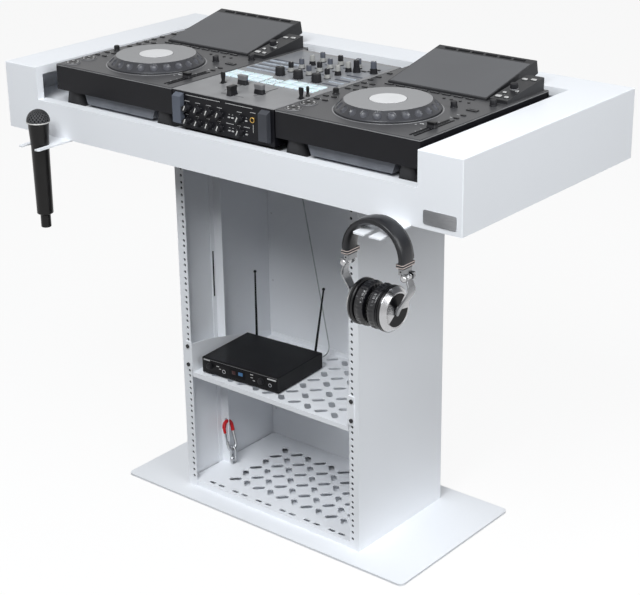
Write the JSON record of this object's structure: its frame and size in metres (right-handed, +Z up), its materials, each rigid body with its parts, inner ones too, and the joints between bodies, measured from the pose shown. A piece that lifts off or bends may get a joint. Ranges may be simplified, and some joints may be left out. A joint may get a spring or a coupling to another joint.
{
  "type": "dj booth",
  "caption": "Standing equipment booth: wide white sheet-metal tray on a rack column with a flat base, carrying players, a mixer, a wireless receiver, a microphone and headphones.",
  "frame": {"origin": "centre of the base plate's underside, on the floor", "axes": "+X to the user's right along the tray, +Y away from the user, +Z up"},
  "size_m": [1.2, 0.7, 1.0366],
  "materials": {
    "white_powder_coat": "satin white powder coat with a fine grain",
    "badge_aluminium": "brushed grey plate, left bare",
    "dark_screws": "black oxide screws",
    "zinc_wire": "zinc-plated wire",
    "mic_black": "matt black enamel",
    "mic_mesh": "woven steel wire",
    "band_leatherette": "black leatherette over foam",
    "phones_silver": "satin silver",
    "cup_plastic": "black moulded shell with a silver disc",
    "cushion_leatherette": "soft black leatherette",
    "deck_plastic": "fine-textured dark grey",
    "jog_plastic": "pale grey disc with a dimpled ring",
    "screen_gloss": "dark glass in a black bezel",
    "button_plastic": "dark keys with pale rings",
    "fader_plastic": "grey cap with a pale line",
    "knob_rubber": "soft black rubber",
    "mixer_paint": "dark slate paint",
    "pad_silicone": "pale translucent silicone",
    "receiver_paint": "black textured paint",
    "antenna_rubber": "black rubber"
  },
  "bodies": {
    "booth": {"base_plate": "white_powder_coat", "column_left_side": "white_powder_coat", "column_right_side": "white_powder_coat", "column_back_panel": "white_powder_coat", "column_bottom_shelf": "white_powder_coat", "rack_rails": "white_powder_coat", "rear_rails": "white_powder_coat", "rack_shelf": "white_powder_coat", "tray_bottom": "white_powder_coat", "tray_front_panel": "white_powder_coat", "tray_left_arm": "white_powder_coat", "tray_right_arm": "white_powder_coat", "tray_back_wall": "white_powder_coat", "tray_floor": "white_powder_coat", "mic_holder": "white_powder_coat", "headphone_hook": "white_powder_coat", "badge_plate": "badge_aluminium", "booth_screws": "dark_screws", "snap_hook": "zinc_wire", "hook_links": "zinc_wire", "left_deck_case": "deck_plastic", "right_deck_case": "deck_plastic", "left_screen": "screen_gloss", "right_screen": "screen_gloss", "deck_buttons": "button_plastic", "mixer_knobs": "knob_rubber", "rubber_feet": "knob_rubber", "mixer_case": "mixer_paint", "mixer_pads": "pad_silicone", "receiver_case": "receiver_paint", "receiver_lead": "antenna_rubber"},
    "left_jog": {"left_jog_wheel": "jog_plastic"},
    "right_jog": {"right_jog_wheel": "jog_plastic"},
    "left_tempo": {"left_tempo_fader": "fader_plastic"},
    "right_tempo": {"right_tempo_fader": "fader_plastic"},
    "left_play": {"left_play_button": "button_plastic"},
    "right_play": {"right_play_button": "button_plastic"},
    "left_cue": {"left_cue_button": "button_plastic"},
    "right_cue": {"right_cue_button": "button_plastic"},
    "left_browse": {"left_browse_knob": "knob_rubber"},
    "right_browse": {"right_browse_knob": "knob_rubber"},
    "crossfader_cap": {"crossfader": "fader_plastic"},
    "left_channel_cap": {"left_channel_fader": "fader_plastic"},
    "right_channel_cap": {"right_channel_fader": "fader_plastic"},
    "left_paddle_lever": {"left_paddle": "fader_plastic"},
    "right_paddle_lever": {"right_paddle": "fader_plastic"},
    "left_antenna_rod": {"left_antenna": "antenna_rubber"},
    "right_antenna_rod": {"right_antenna": "antenna_rubber"},
    "microphone": {"mic_body": "mic_black", "mic_grille": "mic_mesh"},
    "headphone_band": {"headband": "band_leatherette"},
    "left_slider": {"left_band_slider": "phones_silver"},
    "right_slider": {"right_band_slider": "phones_silver"},
    "left_cup": {"left_cup_arm": "phones_silver", "left_ear_cup": "cup_plastic", "left_ear_cushion": "cushion_leatherette"},
    "right_cup": {"right_cup_arm": "phones_silver", "right_ear_cup": "cup_plastic", "right_ear_cushion": "cushion_leatherette"},
    "hook_gate": {"snap_hook_gate": "zinc_wire"}
  },
  "joints": [
    {"name": "left_jog_spin", "type": "hinge", "parent": "booth", "child": "left_jog", "pos_m": [-0.297, -0.141, 1], "axis": [0, 0, 1], "continuous": true},
    {"name": "left_tempo_slide", "type": "slide", "parent": "booth", "child": "left_tempo", "axis": [0, 1, 0], "range_m": [-0.05, 0.05]},
    {"name": "left_play_press", "type": "slide", "parent": "booth", "child": "left_play", "axis": [0, 0, -1], "range_m": [0, 0.0015], "stiffness_N_per_m": 900, "springref_m": -0.0005},
    {"name": "left_cue_press", "type": "slide", "parent": "booth", "child": "left_cue", "axis": [0, 0, -1], "range_m": [0, 0.0015], "stiffness_N_per_m": 900, "springref_m": -0.0005},
    {"name": "left_browse_turn", "type": "hinge", "parent": "booth", "child": "left_browse", "pos_m": [-0.151, 0.07, 1.00898], "axis": [0, -0.1435, 0.9896], "continuous": true},
    {"name": "right_jog_spin", "type": "hinge", "parent": "booth", "child": "right_jog", "pos_m": [0.317, -0.141, 1], "axis": [0, 0, 1], "continuous": true},
    {"name": "right_tempo_slide", "type": "slide", "parent": "booth", "child": "right_tempo", "axis": [0, 1, 0], "range_m": [-0.05, 0.05]},
    {"name": "right_play_press", "type": "slide", "parent": "booth", "child": "right_play", "axis": [0, 0, -1], "range_m": [0, 0.0015], "stiffness_N_per_m": 900, "springref_m": -0.0005},
    {"name": "right_cue_press", "type": "slide", "parent": "booth", "child": "right_cue", "axis": [0, 0, -1], "range_m": [0, 0.0015], "stiffness_N_per_m": 900, "springref_m": -0.0005},
    {"name": "right_browse_turn", "type": "hinge", "parent": "booth", "child": "right_browse", "pos_m": [0.463, 0.07, 1.00898], "axis": [0, -0.1435, 0.9896], "continuous": true},
    {"name": "crossfader_slide", "type": "slide", "parent": "booth", "child": "crossfader_cap", "axis": [1, 0, 0], "range_m": [-0.022, 0.022]},
    {"name": "left_channel_slide", "type": "slide", "parent": "booth", "child": "left_channel_cap", "axis": [0, 1, 0], "range_m": [-0.048, 0.012]},
    {"name": "right_channel_slide", "type": "slide", "parent": "booth", "child": "right_channel_cap", "axis": [0, 1, 0], "range_m": [-0.012, 0.048]},
    {"name": "left_paddle_flick", "type": "hinge", "parent": "booth", "child": "left_paddle_lever", "pos_m": [-0.07, -0.18, 0.989], "axis": [1, 0, 0], "range_deg": [-18, 18], "stiffness_Nm_per_rad": 0.12},
    {"name": "right_paddle_flick", "type": "hinge", "parent": "booth", "child": "right_paddle_lever", "pos_m": [0.135, -0.18, 0.989], "axis": [1, 0, 0], "range_deg": [-18, 18], "stiffness_Nm_per_rad": 0.12},
    {"name": "left_antenna_lean", "type": "hinge", "parent": "booth", "child": "left_antenna_rod", "pos_m": [-0.19089, 0.03337, 0.31915], "axis": [-0.0698, 0.9976, 0], "range_deg": [-15, 30]},
    {"name": "right_antenna_lean", "type": "hinge", "parent": "booth", "child": "right_antenna_rod", "pos_m": [-0.02729, 0.04481, 0.31915], "axis": [-0.0698, 0.9976, 0], "range_deg": [-20, 60]},
    {"name": "mic_lift", "type": "slide", "parent": "booth", "child": "microphone", "axis": [0, 0, 1], "range_m": [0, 0.2]},
    {"name": "headphones_slide_off", "type": "slide", "parent": "booth", "child": "headphone_band", "axis": [0, -1, 0], "range_m": [0, 0.12]},
    {"name": "left_band_extend", "type": "slide", "parent": "headphone_band", "child": "left_slider", "axis": [0, 0, -1], "range_m": [0, 0.018]},
    {"name": "left_cup_fold", "type": "hinge", "parent": "left_slider", "child": "left_cup", "pos_m": [0.388, -0.356, 0.7668], "axis": [0, 1, 0], "range_deg": [0, 25]},
    {"name": "right_band_extend", "type": "slide", "parent": "headphone_band", "child": "right_slider", "axis": [0, 0, -1], "range_m": [0, 0.018]},
    {"name": "right_cup_fold", "type": "hinge", "parent": "right_slider", "child": "right_cup", "pos_m": [0.524, -0.356, 0.7668], "axis": [0, -1, 0], "range_deg": [0, 25]},
    {"name": "hook_gate_open", "type": "hinge", "parent": "booth", "child": "hook_gate", "pos_m": [-0.2179, -0.05, 0.07798], "axis": [-0.9703, 0, -0.2419], "range_deg": [0, 12], "stiffness_Nm_per_rad": 0.05, "springref_deg": -11.46}
  ]
}
